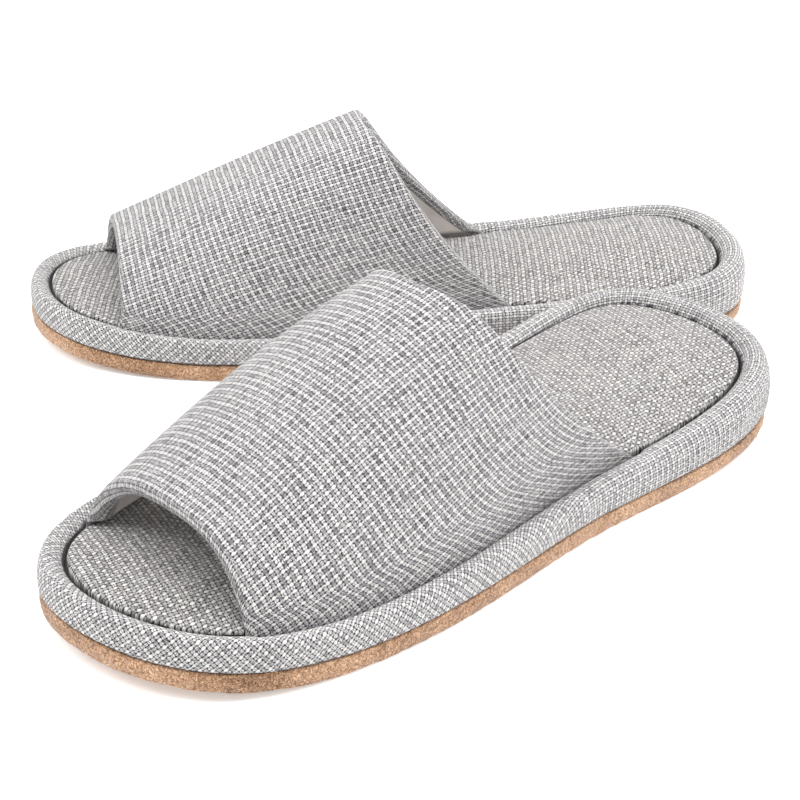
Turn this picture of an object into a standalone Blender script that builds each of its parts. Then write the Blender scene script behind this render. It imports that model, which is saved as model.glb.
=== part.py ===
"""A pair of open-toe house slippers: a padded linen band over a cushioned, fabric-edged sole.

Each slipper is built in its own frame, in metres: +Y from heel to toe, +X towards the outer side of
the foot, z = 0 on the floor. The left one is the mirror image of the right one. The pieces follow the
way such a slipper is made. A thick sole carries a foam wedge and a board. A covered cushion lies on
the board, a fabric-wrapped roll runs round it, and the band's edges are tucked between the two.
"""

import math

import bpy
import numpy as np

MM = 0.001

# Outline of the sole: length, and half widths at fractions of the length from the heel.
LENGTH = 270 * MM
HALF_WIDTHS = (  # fraction from the heel, outer side, inner side
    (0.07, 39.8 * MM, 41.6 * MM),
    (0.40, 47.4 * MM, 43.8 * MM),
    (0.66, 52.7 * MM, 54.8 * MM),
    (0.93, 38.2 * MM, 37.6 * MM),
)
HEEL_TIP_X = -2.8 * MM
TOE_TIP_X = -3.3 * MM
RING_POINTS = 40

# The sole curls up at both ends.
TOE_SPRING = 5.2 * MM
TOE_SPRING_FROM = 0.78
HEEL_SPRING = 6.4 * MM
HEEL_SPRING_TO = 0.30

# Heights above the curled floor line. Pairs of values are for the toe and the heel.
SOLE_THICKNESS = 6.1 * MM
HEEL_THINNING = 1.3 * MM
GROOVE_HEIGHT = (14.0 * MM, 20.2 * MM)
GROOVE_DIP = 4.5 * MM  # at the middle of the foot

# The groove between the roll and the cushion: its inset from the outline and its width.
GROOVE_INSET = (7.3 * MM, 10.8 * MM)
GROOVE_WIDTH = 1.4 * MM
GROOVE_WIDTH_AT_BAND = 3.6 * MM
GROOVE_WIDENING = 12 * MM  # how far from the band it starts to widen

# The roll: its height above the groove, and the shape of its section.
ROLL_RISE = (2.0 * MM, 4.2 * MM)
ROLL_OVERHANG = 0.3 * MM
ROLL_SHOULDER = 4.8 * MM  # how far its top lies from its inner side
ROLL_WAIST = 0.30  # how high its outer side is widest, as a share of its height
ROLL_INNER_WAIST = 0.52
ROLL_TOP_SQUARENESS = 2.3
ROLL_FOOT_SQUARENESS = 5.0
ROLL_SIDES = 8
ROLL_COVERED_SIDES = 6

# Layers.
FABRIC = 0.7 * MM
GAP = 0.3 * MM
BOARD_THICKNESS = 1.0 * MM
CUSHION_DEPTH = 2.1 * MM
CUSHION_RAISE = (1.5 * MM, 2.4 * MM)
CUSHION_ROUNDING = 1.2 * MM
CUSHION_DOME = (2.4 * MM, 4.4 * MM)
THREAD_RADIUS = 0.35 * MM
THREAD_DEPTH = (1.5 * MM, 2.9 * MM)  # in the open groove, under the band

# The band over the foot: its edges along the foot, and its arch above the groove.
FRONT_EDGE = (105.5 * MM, 107.0 * MM, 106.0 * MM)  # at the middle, outer side, inner side
REAR_EDGE = (15.0 * MM, -47.0 * MM, -38.0 * MM)
FRONT_EDGE_SWEEP = 1.4
REAR_EDGE_SWEEP = 2.1
ARCH_HEIGHT = (24.5 * MM, 66.0 * MM)  # at the front edge, at the rear edge
ARCH_SWELL = 2.0 * MM
ARCH_FLATNESS = (3.0, 3.3)
ARCH_SLOPE = (1.35, 1.2)
BAND_EDGE_THICKNESS = 1.7 * MM
BAND_THICKNESS = 5.6 * MM
BAND_SWELLS = (1.8 * MM, 6.3 * MM)  # above the groove it starts to thicken, and has its full thickness
BAND_TUCK = 1.9 * MM
BAND_LOW_STATIONS = (1.0, 0.97, 0.925)  # shares of the way from the arch's middle to its side
BAND_MIDDLE_STATIONS = (0.87, 14)  # from this share over to the other side, so many
FACING_WIDTH = 5.0 * MM
LINING_INSET = FACING_WIDTH + GAP
EDGE_ROUNDING = 2.0 * MM
BAND_ROWS = (  # share of the way back, and distance further back
    (0, LINING_INSET),
    (0.17, 0),
    (0.33, 0),
    (0.50, 0),
    (0.67, 0),
    (0.83, 0),
    (1, -LINING_INSET),
)

# Where each slipper stands: its middle, and how far its toe turns out.
TURN_OUT = math.radians(16.1)
LEFT_MIDDLE = (-66.9 * MM, 27.9 * MM)
RIGHT_MIDDLE = (66.9 * MM, -27.9 * MM)

LINEN = (0.56, 0.56, 0.57)
LINING = (0.62, 0.58, 0.54)
SUEDE = (0.56, 0.35, 0.19)
FOAM = (0.86, 0.85, 0.80)
EVA = (0.80, 0.80, 0.78)
BOARD = (0.42, 0.33, 0.23)
THREAD = (0.20, 0.20, 0.21)


def clear_scene():
    for obj in list(bpy.data.objects):
        bpy.data.objects.remove(obj, do_unlink=True)


# ---- the outline -------------------------------------------------------------------------------


def closed_spline(points, samples):
    """A smooth closed curve through the points: its samples and their directions."""
    count = len(points)
    steps = np.linalg.norm(np.roll(points, -1, axis=0) - points, axis=1) ** 0.5
    slopes = (np.roll(points, -1, axis=0) - points) / steps[:, None]
    matrix = np.zeros((count, count))
    for i in range(count):
        matrix[i, i - 1] = steps[i - 1]
        matrix[i, i] = 2 * (steps[i - 1] + steps[i])
        matrix[i, (i + 1) % count] = steps[i]
    bends = np.linalg.solve(matrix, 6 * (slopes - np.roll(slopes, 1, axis=0)))
    curve = []
    directions = []
    for i in range(count):
        step = steps[i]
        after = (i + 1) % count
        rise = slopes[i] - step * (2 * bends[i] + bends[after]) / 6
        x = np.linspace(0, step, samples, endpoint=False)[:, None]
        growth = (bends[after] - bends[i]) / (6 * step)
        curve.append(points[i] + rise * x + bends[i] / 2 * x**2 + growth * x**3)
        directions.append(rise + bends[i] * x + 3 * growth * x**2)
    return np.concatenate(curve), np.concatenate(directions)


def outline():
    """The sole's outline, from the heel tip up the outer side to the toe and back, evenly spaced."""
    outer = [(wide, (part - 0.5) * LENGTH) for part, wide, _ in HALF_WIDTHS]
    inner = [(-wide, (part - 0.5) * LENGTH) for part, _, wide in reversed(HALF_WIDTHS)]
    heel = (HEEL_TIP_X, -LENGTH / 2)
    toe = (TOE_TIP_X, LENGTH / 2)
    samples = 100
    knots = np.array([heel, *outer, toe, *inner])
    curve, direction = closed_spline(knots, samples)
    curve = np.vstack([curve, curve[:1]])
    direction = np.vstack([direction, direction[:1]])
    toe_index = samples * (len(HALF_WIDTHS) + 1)
    sides = []
    for first, last in ((0, toe_index), (toe_index, len(curve) - 1)):
        part = curve[first : last + 1]
        lengths = np.linalg.norm(np.diff(part, axis=0), axis=1)
        along = np.concatenate([[0], np.cumsum(lengths)])
        wanted = np.linspace(0, along[-1], RING_POINTS // 2, endpoint=False)
        values = np.hstack([part, direction[first : last + 1]])
        columns = [np.interp(wanted, along, column) for column in values.T]
        sides.append(np.array(columns).T)
    both = np.vstack(sides)
    return both[:, :2], inwards(both[:, 2:]), curve, inwards(direction), toe_index


def inwards(directions):
    """Unit vectors that point into the outline, from the directions along it."""
    turned = np.stack([-directions[:, 1], directions[:, 0]], axis=1)
    return turned / np.linalg.norm(turned, axis=1)[:, None]


EDGE, INWARD, CURVE, CURVE_INWARD, TOE_INDEX = outline()


def side_x(y, curve=CURVE):
    """The x of the outline, or of a curve inset from it, on the outer and the inner side of the foot."""
    outer = curve[: TOE_INDEX + 1]
    inner = curve[TOE_INDEX:][::-1]
    return np.interp(y, outer[:, 1], outer[:, 0]), np.interp(y, inner[:, 1], inner[:, 0])


def from_heel(y):
    return y / LENGTH + 0.5


def between(ends, y):
    """A value given at the toe and at the heel."""
    part = from_heel(y)
    return ends[0] * part + ends[1] * (1 - part)


def floor_line(y):
    """How far the curled sole stands off the floor."""
    toe = np.clip((from_heel(y) - TOE_SPRING_FROM) / (1 - TOE_SPRING_FROM), 0, 1)
    return TOE_SPRING * toe**2 + HEEL_SPRING * heel_share(y) ** 2


def heel_share(y):
    """0 at the middle of the foot and further on, 1 at the heel."""
    return np.clip((HEEL_SPRING_TO - from_heel(y)) / HEEL_SPRING_TO, 0, 1)


def sole_top(y):
    return floor_line(y) + SOLE_THICKNESS - HEEL_THINNING * heel_share(y)


def groove_top(y):
    part = from_heel(y)
    return floor_line(y) + between(GROOVE_HEIGHT, y) - GROOVE_DIP * 4 * part * (1 - part)


def under_band(y):
    """0 where the groove is open, 1 where the band is tucked into it."""
    rear = min(REAR_EDGE) - GROOVE_WIDENING
    front = max(FRONT_EDGE) + GROOVE_WIDENING
    return np.clip(np.minimum(y - rear, front - y) / GROOVE_WIDENING, 0, 1)


def groove_half_width(y):
    return (GROOVE_WIDTH + (GROOVE_WIDTH_AT_BAND - GROOVE_WIDTH) * under_band(y)) / 2


# ---- rings and the meshes made from them -------------------------------------------------------


def ring(inset, height):
    """Points round the slipper, inset from the outline. Both arguments are functions of y."""
    points = EDGE + INWARD * np.broadcast_to(inset(EDGE[:, 1]), len(EDGE))[:, None]
    return np.column_stack([points, np.broadcast_to(height(points[:, 1]), len(EDGE))])


def shrunk(base, share, rise):
    """A ring drawn a share of the way towards the slipper's spine and raised."""
    outer, inner = side_x(base[:, 1])
    end = LENGTH / 2 - 46 * MM
    spine = np.column_stack([(outer + inner) / 2, np.clip(base[:, 1], -end, end)])
    points = base[:, :2] + (spine - base[:, :2]) * share
    return np.column_stack([points, groove_top(points[:, 1]) + rise(points[:, 1])])


def strips(count):
    """Faces that close a ring with strips from its outer side to its inner side."""
    half = count // 2
    faces = [(0, 1, count - 1), (half - 1, half, half + 1)]
    for i in range(1, half - 1):
        faces.append((i, i + 1, count - i - 1, count - i))
    return faces


def stacked(rings, closed=False):
    """A solid from rings listed from the bottom up: closed by strips, or back onto the first ring."""
    count = len(rings[0])
    faces = []
    pairs = len(rings) if closed else len(rings) - 1
    for level in range(pairs):
        low = level * count
        high = (level + 1) % len(rings) * count
        for i in range(count):
            j = (i + 1) % count
            faces.append((low + i, low + j, high + j, high + i))
    if not closed:
        top = (len(rings) - 1) * count
        faces += [tuple(reversed(face)) for face in strips(count)]
        faces += [tuple(top + i for i in face) for face in strips(count)]
    return np.vstack(rings), faces


def short_split(points, a, b, c, d):
    """Two triangles for a bent quad, split along its shorter diagonal, so that layers nest."""
    if np.linalg.norm(points[a] - points[c]) < np.linalg.norm(points[b] - points[d]):
        return [(a, b, c), (a, c, d)]
    return [(a, b, d), (b, c, d)]


def swept(sections):
    """A solid from open-ended sections, each a closed loop of points, capped at both ends."""
    count = len(sections[0])
    points = np.vstack(sections)
    faces = []
    for level in range(len(sections) - 1):
        low = level * count
        high = low + count
        for i in range(count):
            j = (i + 1) % count
            faces += short_split(points, low + j, low + i, high + i, high + j)
    half = count // 2
    last = (len(sections) - 1) * count
    for i in range(half - 1):
        cap = (i, i + 1, count - i - 2, count - i - 1)
        faces.append(cap)
        faces.append(tuple(last + k for k in reversed(cap)))
    return points, faces


# ---- the sole and the cushion ------------------------------------------------------------------


def cushion_edge(y):
    return between(GROOVE_INSET, y) + groove_half_width(y)


def outsole():
    rounding = 0.8 * MM
    return stacked(
        [
            ring(lambda y: rounding, floor_line),
            ring(lambda y: 0.0, lambda y: floor_line(y) + rounding),
            ring(lambda y: 0.0, sole_top),
        ]
    )


def board_bottom(y):
    return groove_top(y) - CUSHION_DEPTH - GAP - BOARD_THICKNESS


def midsole():
    return stacked(
        [
            ring(cushion_edge, lambda y: sole_top(y) + GAP),
            ring(cushion_edge, lambda y: board_bottom(y) - GAP),
        ]
    )


def insole_board():
    return stacked(
        [
            ring(cushion_edge, board_bottom),
            ring(cushion_edge, lambda y: board_bottom(y) + BOARD_THICKNESS),
        ]
    )


def dome(shell):
    """The cushion's rounded edge and domed top, shell inside its outer surface."""
    corner = 0.3 * CUSHION_ROUNDING
    rows = [(0, CUSHION_ROUNDING, 0), (corner, corner, 0)]
    rows += [(CUSHION_ROUNDING, 0, share) for share in (0, 0.12, 0.35, 0.7)]
    rings = []
    for inset, drop, share in rows:
        base = ring(lambda y: cushion_edge(y) + shell + inset, groove_top)
        crown = 1 - (1 - share) ** 2.4

        def rise(y):
            return between(CUSHION_RAISE, y) + between(CUSHION_DOME, y) * crown - shell - drop

        rings.append(shrunk(base, share, rise))
    return rings


def insole_foam():
    shell = FABRIC + GAP
    bottom = ring(lambda y: cushion_edge(y) + shell, lambda y: groove_top(y) - CUSHION_DEPTH)
    return stacked([bottom] + dome(shell))


def insole_cover():
    """The fabric over the cushion and down its edge. Underneath, it stays open onto the board."""

    def bottom(y):
        return groove_top(y) - CUSHION_DEPTH

    outside = [ring(cushion_edge, bottom)] + dome(0.0)
    inside = [ring(lambda y: cushion_edge(y) + FABRIC, bottom)] + dome(FABRIC)
    return stacked(inside[::-1] + outside)


def thread_height(y):
    open_depth, tucked_depth = THREAD_DEPTH
    return groove_top(y) - open_depth - (tucked_depth - open_depth) * under_band(y)


def insole_seam():
    """The line of stitching low in the groove, which holds roll, band and cushion."""
    rings = []
    for across, up in ((1, 0), (0, -1), (-1, 0), (0, 1)):
        aside = across * THREAD_RADIUS
        above = up * THREAD_RADIUS
        rings.append(ring(lambda y: between(GROOVE_INSET, y) + aside, lambda y: thread_height(y) + above))
    return stacked(rings, closed=True)


# ---- the roll ----------------------------------------------------------------------------------


def roll_ring(angle, shell):
    """The ring of the roll's surface at an angle from its inner side, over its top, shell deep.

    The roll is highest over its inner half, slopes outwards and stands square on the sole.
    """
    inner_half = math.cos(angle) > 0
    top_half = math.sin(angle) > 0
    power = 2 / (ROLL_TOP_SQUARENESS if top_half else ROLL_FOOT_SQUARENESS)
    across = abs(math.cos(angle)) ** power
    up = abs(math.sin(angle)) ** power

    def inset(y):
        inner = between(GROOVE_INSET, y) - groove_half_width(y)
        crest = inner - ROLL_SHOULDER
        end = inner - shell if inner_half else shell - ROLL_OVERHANG
        return crest + (end - crest) * across

    def height(y):
        low = sole_top(y) + GAP
        high = groove_top(y) + between(ROLL_RISE, y)
        waist = low + (high - low) * (ROLL_INNER_WAIST if inner_half else ROLL_WAIST)
        end = high - shell if top_half else low + shell
        return waist + (end - waist) * up

    return ring(inset, height)


def rim_foam():
    angles = [math.tau * i / ROLL_SIDES for i in range(ROLL_SIDES)]
    return stacked([roll_ring(angle, FABRIC + GAP) for angle in reversed(angles)], closed=True)


def rim_cover():
    """The fabric round the roll. It stays open low on its inner side, where its edges are glued."""
    angles = [math.tau * i / ROLL_SIDES for i in range(ROLL_COVERED_SIDES + 1)]
    outside = [roll_ring(angle, 0.0) for angle in reversed(angles)]
    inside = [roll_ring(angle, FABRIC) for angle in angles]
    return stacked(outside + inside, closed=True)


# ---- the band ----------------------------------------------------------------------------------


def arch(across, flatness, slope):
    """The band's section, as shares of half width and height; across runs from 1, outer, to -1, inner."""
    angle = np.linspace(0, math.pi / 2, 160)
    x = np.cos(angle) ** (2 / flatness)
    z = np.sin(angle) ** (2 / slope)
    along = np.concatenate([[0], np.cumsum(np.hypot(np.diff(x), np.diff(z)))])
    wanted = (1 - abs(across)) * along[-1]
    return math.copysign(np.interp(wanted, along, x), across), np.interp(wanted, along, z)


BAND_BASE = CURVE + CURVE_INWARD * (between(GROOVE_INSET, CURVE[:, 1]) - BAND_EDGE_THICKNESS / 2)[:, None]


def edge_y(edge, across, sweep):
    middle, outer, inner = edge
    side = outer if across > 0 else inner
    return middle + (side - middle) * abs(across) ** sweep


def band_surface(back, across):
    """A point on the band's outside. back runs from 0, the front edge, to 1, the rear edge."""
    x, z = arch(across, *(a + (b - a) * back for a, b in (ARCH_FLATNESS, ARCH_SLOPE)))
    front = edge_y(FRONT_EDGE, across, FRONT_EDGE_SWEEP)
    rear = edge_y(REAR_EDGE, across, REAR_EDGE_SWEEP)
    y = front + (rear - front) * back
    outer, inner = side_x(y, BAND_BASE)
    height = ARCH_HEIGHT[0] + (ARCH_HEIGHT[1] - ARCH_HEIGHT[0]) * back + ARCH_SWELL * 4 * back * (1 - back)
    return np.array([(outer + inner) / 2 + (outer - inner) / 2 * x, y, groove_top(y) + height * z])


def band_frame(back, across):
    """A surface point, its outward normal and its height above the groove."""
    step = 0.004
    point = band_surface(back, across)
    along = band_surface(back + step, across) - band_surface(back - step, across)
    low = max(across - step, -1)
    high = min(across + step, 1)
    round_arch = band_surface(back, high) - band_surface(back, low)
    normal = np.cross(along, round_arch)
    return point, normal / np.linalg.norm(normal), point[2] - groove_top(point[1])


def band_thickness(rise):
    start, full = BAND_SWELLS
    share = min(max((rise - start) / (full - start), 0), 1)
    smooth = share * share * (3 - 2 * share)
    return BAND_EDGE_THICKNESS + (BAND_THICKNESS - BAND_EDGE_THICKNESS) * smooth


def band_section(across, profile, drop=0.0):
    """A closed loop of points over the band at one station across it.

    profile lists (share of the way back, distance further back, depth) for the local thickness.
    """
    length = np.linalg.norm(band_surface(1, across) - band_surface(0, across))
    points = []
    for index, (share, further, _) in enumerate(profile(BAND_THICKNESS)):
        rise = band_frame(share + further / length, across)[2]
        share, further, depth = profile(band_thickness(rise))[index]
        point, normal, _ = band_frame(share + further / length, across)
        points.append(point - normal * depth - np.array([0, 0, drop]))
    return np.array(points)


def edge_path(thickness, shell):
    """The outer fabric's path round an edge, from its facing to the outside, shell inside it."""
    rounding = min(EDGE_ROUNDING, thickness / 2)
    corner = shell + 0.3 * (rounding - shell)
    return [
        (FACING_WIDTH, thickness - shell),
        (rounding, thickness - shell),
        (corner, thickness - corner),
        (shell, thickness / 2),
        (corner, corner),
        (rounding, shell),
    ]


def outer_profile(thickness):
    """The outer fabric: over the outside, round both edges and a little way in as a facing."""
    loop = []
    for shell, turn in ((0.0, 1), (FABRIC, -1)):
        path = edge_path(thickness, shell)
        side = [(0, v, depth) for v, depth in path]
        side += [(share, further, shell) for share, further in BAND_ROWS]
        side += [(1, -v, depth) for v, depth in reversed(path)]
        loop += side[::turn]
    return loop


def layer_profile(inset, top, bottom):
    """A plain layer between two depths, which are functions of the local thickness."""

    def profile(thickness):
        places = [(0, inset), *BAND_ROWS, (1, -inset)] if inset < LINING_INSET else BAND_ROWS
        loop = [(share, further, top(thickness)) for share, further in places]
        loop += [(share, further, bottom(thickness)) for share, further in reversed(places)]
        return loop

    return profile


def band_layer(profile, skip=0):
    """A layer of the band, swept from the outer side of the foot over to the inner side.

    It is tucked into the groove, or it ends some stations above it.
    """
    side, count = BAND_MIDDLE_STATIONS
    low = BAND_LOW_STATIONS[skip:]
    stations = [*low, *np.linspace(side, -side, count), *(-share for share in reversed(low))]
    sections = [band_section(across, profile) for across in stations]
    if not skip:
        sections.insert(0, band_section(1, profile, BAND_TUCK))
        sections.append(band_section(-1, profile, BAND_TUCK))
    return swept(sections)


def upper_outer():
    return band_layer(outer_profile)


def upper_lining():
    profile = layer_profile(
        LINING_INSET,
        lambda thickness: thickness - FABRIC,
        lambda thickness: thickness,
    )
    return band_layer(profile)


def upper_foam():
    shell = FABRIC + GAP
    inset = EDGE_ROUNDING + 2 * GAP
    profile = layer_profile(
        inset,
        lambda thickness: shell,
        lambda thickness: thickness - shell,
    )
    return band_layer(profile, skip=2)


# ---- the objects -------------------------------------------------------------------------------


def material(name, colour, roughness):
    made = bpy.data.materials.new(name)
    made.use_nodes = True
    shader = made.node_tree.nodes["Principled BSDF"]
    shader.inputs["Base Color"].default_value = (*colour, 1)
    shader.inputs["Roughness"].default_value = roughness
    shader.inputs["Metallic"].default_value = 0
    return made


PIECES = (
    ("outsole", outsole, SUEDE, 0.95),
    ("midsole", midsole, EVA, 0.80),
    ("insole_board", insole_board, BOARD, 0.85),
    ("insole_foam", insole_foam, FOAM, 0.90),
    ("insole_cover", insole_cover, LINEN, 0.92),
    ("insole_seam", insole_seam, THREAD, 0.70),
    ("rim_foam", rim_foam, FOAM, 0.90),
    ("rim_cover", rim_cover, LINEN, 0.92),
    ("upper_outer", upper_outer, LINEN, 0.92),
    ("upper_foam", upper_foam, FOAM, 0.90),
    ("upper_lining", upper_lining, LINING, 0.85),
)


def place_piece(name, points, faces, finish, side, parent):
    """Makes the object of one piece. side is 1 for the right slipper and -1 for its mirror image."""
    points = points * (side, 1, 1)
    if side < 0:
        faces = [tuple(reversed(face)) for face in faces]
    mesh = bpy.data.meshes.new(name)
    mesh.from_pydata(points.tolist(), [], faces)
    mesh.materials.append(finish)
    mesh.shade_smooth()
    mesh.set_sharp_from_angle(angle=math.radians(50))
    obj = bpy.data.objects.new(name, mesh)
    bpy.context.collection.objects.link(obj)
    obj.parent = parent
    return obj


def build_slipper(prefix, side, middle):
    stand = bpy.data.objects.new(prefix + "stand", None)
    bpy.context.collection.objects.link(stand)
    stand.location = (*middle, 0)
    stand.rotation_euler = (0, 0, -side * TURN_OUT)
    for name, shape, colour, roughness in PIECES:
        points, faces = shape()
        finish = material(prefix + name, colour, roughness)
        place_piece(prefix + name, points, faces, finish, side, stand)
    return stand


def centre_pair(stands):
    """Moves both slippers so that the middle of the pair's box is over the origin."""
    bpy.context.view_layer.update()
    points = []
    for obj in bpy.data.objects:
        if obj.type == "MESH":
            points += [obj.matrix_world @ vertex.co for vertex in obj.data.vertices]
    points = np.array(points)
    middle = (points.min(axis=0) + points.max(axis=0)) / 2
    for stand in stands:
        stand.location.x -= middle[0]
        stand.location.y -= middle[1]


def main():
    clear_scene()
    left = build_slipper("left_", -1, LEFT_MIDDLE)
    right = build_slipper("right_", 1, RIGHT_MIDDLE)
    centre_pair((left, right))


main()
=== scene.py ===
"""The looks of a pair of open-toe house slippers in grey linen, with suede soles, around their CAD model.

Each piece is worked out in its slipper's own frame, as in the CAD model: +Y from heel to toe, +X towards
the outer side of the foot, z = 0 on the floor. placed() then stands it where the CAD model stands.
"""

import math

import bpy
import numpy as np
from mathutils import Matrix, Quaternion, Vector


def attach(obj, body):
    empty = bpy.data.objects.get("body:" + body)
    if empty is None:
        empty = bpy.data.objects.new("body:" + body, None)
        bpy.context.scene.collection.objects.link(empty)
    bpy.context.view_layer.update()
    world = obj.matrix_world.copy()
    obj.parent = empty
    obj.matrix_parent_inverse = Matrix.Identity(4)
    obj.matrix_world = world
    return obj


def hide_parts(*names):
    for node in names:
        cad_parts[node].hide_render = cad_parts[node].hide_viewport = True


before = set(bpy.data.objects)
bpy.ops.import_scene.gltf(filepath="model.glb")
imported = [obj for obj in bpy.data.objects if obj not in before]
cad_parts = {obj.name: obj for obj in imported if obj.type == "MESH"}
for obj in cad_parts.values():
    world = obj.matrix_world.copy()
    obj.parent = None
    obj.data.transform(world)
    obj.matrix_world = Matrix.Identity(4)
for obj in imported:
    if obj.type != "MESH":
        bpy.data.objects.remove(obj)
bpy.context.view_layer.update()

MM = 0.001

# ---- the CAD model's own measures ----

LENGTH = 270 * MM
HALF_WIDTHS = (  # fraction from the heel, outer side, inner side
    (0.07, 39.8 * MM, 41.6 * MM),
    (0.40, 47.4 * MM, 43.8 * MM),
    (0.66, 52.7 * MM, 54.8 * MM),
    (0.93, 38.2 * MM, 37.6 * MM),
)
HEEL_TIP_X = -2.8 * MM
TOE_TIP_X = -3.3 * MM

TOE_SPRING = 5.2 * MM
TOE_SPRING_FROM = 0.78
HEEL_SPRING = 6.4 * MM
HEEL_SPRING_TO = 0.30

SOLE_THICKNESS = 6.1 * MM  # this and the heights below are above the curled floor line
HEEL_THINNING = 1.3 * MM
GROOVE_HEIGHT = (14.0 * MM, 20.2 * MM)  # at the toe, at the heel, as in the pairs that follow
GROOVE_DIP = 4.5 * MM
ROLL_RISE = (2.0 * MM, 4.2 * MM)

GROOVE_INSET = (7.3 * MM, 10.8 * MM)
GROOVE_WIDTH = 0.6 * MM  # 1.4 in the CAD model: here the cloth bulges into it
GROOVE_WIDTH_AT_BAND = 2.4 * MM  # 3.6 in the CAD model
GROOVE_WIDENING = 3 * MM  # how far from the band it starts to widen; 12 in the CAD model's long facets
ROLL_OVERHANG = 0.3 * MM
ROLL_SHOULDER = 4.8 * MM  # how far the roll's top lies from its inner side
ROLL_WAIST = 0.30  # how high its outer side is widest, as a share of its height
ROLL_INNER_WAIST = 0.52
ROLL_TOP_SQUARENESS = 2.3
ROLL_FOOT_SQUARENESS = 5.0
COVERED_TURN = 0.75  # of the roll's section, from its inner side over the top

FABRIC = 0.7 * MM
GAP = 0.3 * MM
BOARD_THICKNESS = 1.0 * MM
CUSHION_DEPTH = 2.1 * MM
CUSHION_RAISE = (1.5 * MM, 2.4 * MM)
CUSHION_ROUNDING = 1.2 * MM
CUSHION_DOME = (2.4 * MM, 4.4 * MM)
SPINE_INSET = 46 * MM  # the cushion's rings shrink towards a spine that stops this far from the tips
SPINE_REACH = 0.97  # the share of the way there that the last ring goes
CROWN_POWER = 2.4
THREAD_DEPTH = (1.5 * MM, 2.9 * MM)  # where the groove is open, under the band

FRONT_EDGE = (105.5 * MM, 107.0 * MM, 106.0 * MM)  # at the middle, outer side, inner side
REAR_EDGE = (15.0 * MM, -47.0 * MM, -38.0 * MM)
FRONT_EDGE_SWEEP = 1.4
REAR_EDGE_SWEEP = 2.1
ARCH_HEIGHT = (24.5 * MM, 66.0 * MM)  # at the front edge, at the rear edge
ARCH_SWELL = 2.0 * MM
ARCH_FLATNESS = (3.0, 3.3)
ARCH_SLOPE = (1.35, 1.2)
BAND_EDGE_THICKNESS = 1.7 * MM
BAND_THICKNESS = 5.6 * MM
BAND_SWELLS = (1.8 * MM, 6.3 * MM)  # above the groove it starts to thicken, and is at its thickest
BAND_TUCK = 1.9 * MM
FACING_WIDTH = 5.0 * MM
EDGE_ROUNDING = 2.0 * MM

TURN_OUT = math.radians(16.1)
MIDDLES = {-1: (-66.9 * MM, 27.9 * MM), 1: (66.9 * MM, -27.9 * MM)}
CENTRING = 0.130 * MM

# ---- how fine the visual model is ----

RING_POINTS = 1440
HIDDEN_STEP = 4  # hidden pieces use every fourth point of the ring
ROLL_ROWS = 44
SHOULDER_ROWS = 9
CUSHION_EDGE_ROWS = 9
DOME_ROWS = 38
HIDDEN_DOME_ROWS = 12
BAND_STATIONS = 300
BAND_POINTS = 150

YARN_PITCHES = (1.0, 1.33)  # in millimetres, as the UV maps are
INSOLE_YARN_PITCHES = (1.2, 1.45)
INSOLE_SKEW = {"left": (0.05, -0.34), "right": (0.23, 0.21)}  # the insoles' cloth lies askew
WEAVE_DRIFT = 5e-5  # how fast the band's crosswise yarns drift back down its sides
WEAVE_FAN = 0.07  # how fast its lengthwise yarns part towards the rear edge
WEAVE_FAN_CENTRE = 30  # millimetres back from the front edge, where they are neither parted nor drawn in
WEAVE_FAN_REACH = 35  # millimetres down from the ridge, beyond which they part little more
BIAS_TURN = (0.38, 0.62)  # from the heel, where the rim's weave turns onto the bias
CUSHION_SHADE = (1.15 * MM, 1.4 * MM)  # below its edge, where painted shade darkens the cover
ROLL_SHADE = (0.9 * MM, 1.2 * MM)  # below that edge, where painted shade darkens the roll's cloth
SOLE_SHADOW = (0.2 * MM, 0.9 * MM)  # above the sole, where the painted shadow on the roll's cloth fades out


# ---- the outline ----


def running(steps, axis=0):
    """Running sums along an axis, from 0."""
    sums = np.cumsum(steps, axis=axis)
    return np.concatenate([0 * sums.take([0], axis=axis), sums], axis=axis)


def distances(grid, axis=0):
    """How far each point of a grid is from the first one of its column, or with axis 1 of its row."""
    return running(np.linalg.norm(np.diff(grid, axis=axis), axis=2), axis)


def closed_spline(points, samples):
    """A smooth closed curve through the points: its samples and their directions."""
    count = len(points)
    steps = np.linalg.norm(np.roll(points, -1, axis=0) - points, axis=1) ** 0.5
    slopes = (np.roll(points, -1, axis=0) - points) / steps[:, None]
    matrix = np.zeros((count, count))
    for i in range(count):
        matrix[i, i - 1] = steps[i - 1]
        matrix[i, i] = 2 * (steps[i - 1] + steps[i])
        matrix[i, (i + 1) % count] = steps[i]
    bends = np.linalg.solve(matrix, 6 * (slopes - np.roll(slopes, 1, axis=0)))
    curve = []
    directions = []
    for i in range(count):
        step = steps[i]
        after = (i + 1) % count
        rise = slopes[i] - step * (2 * bends[i] + bends[after]) / 6
        x = np.linspace(0, step, samples, endpoint=False)[:, None]
        growth = (bends[after] - bends[i]) / (6 * step)
        curve.append(points[i] + rise * x + bends[i] / 2 * x**2 + growth * x**3)
        directions.append(rise + bends[i] * x + 3 * growth * x**2)
    return np.concatenate(curve), np.concatenate(directions)


def inwards(directions):
    """Unit vectors that point into the outline, from the directions along it."""
    turned = np.stack([-directions[:, 1], directions[:, 0]], axis=1)
    return turned / np.linalg.norm(turned, axis=1)[:, None]


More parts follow.
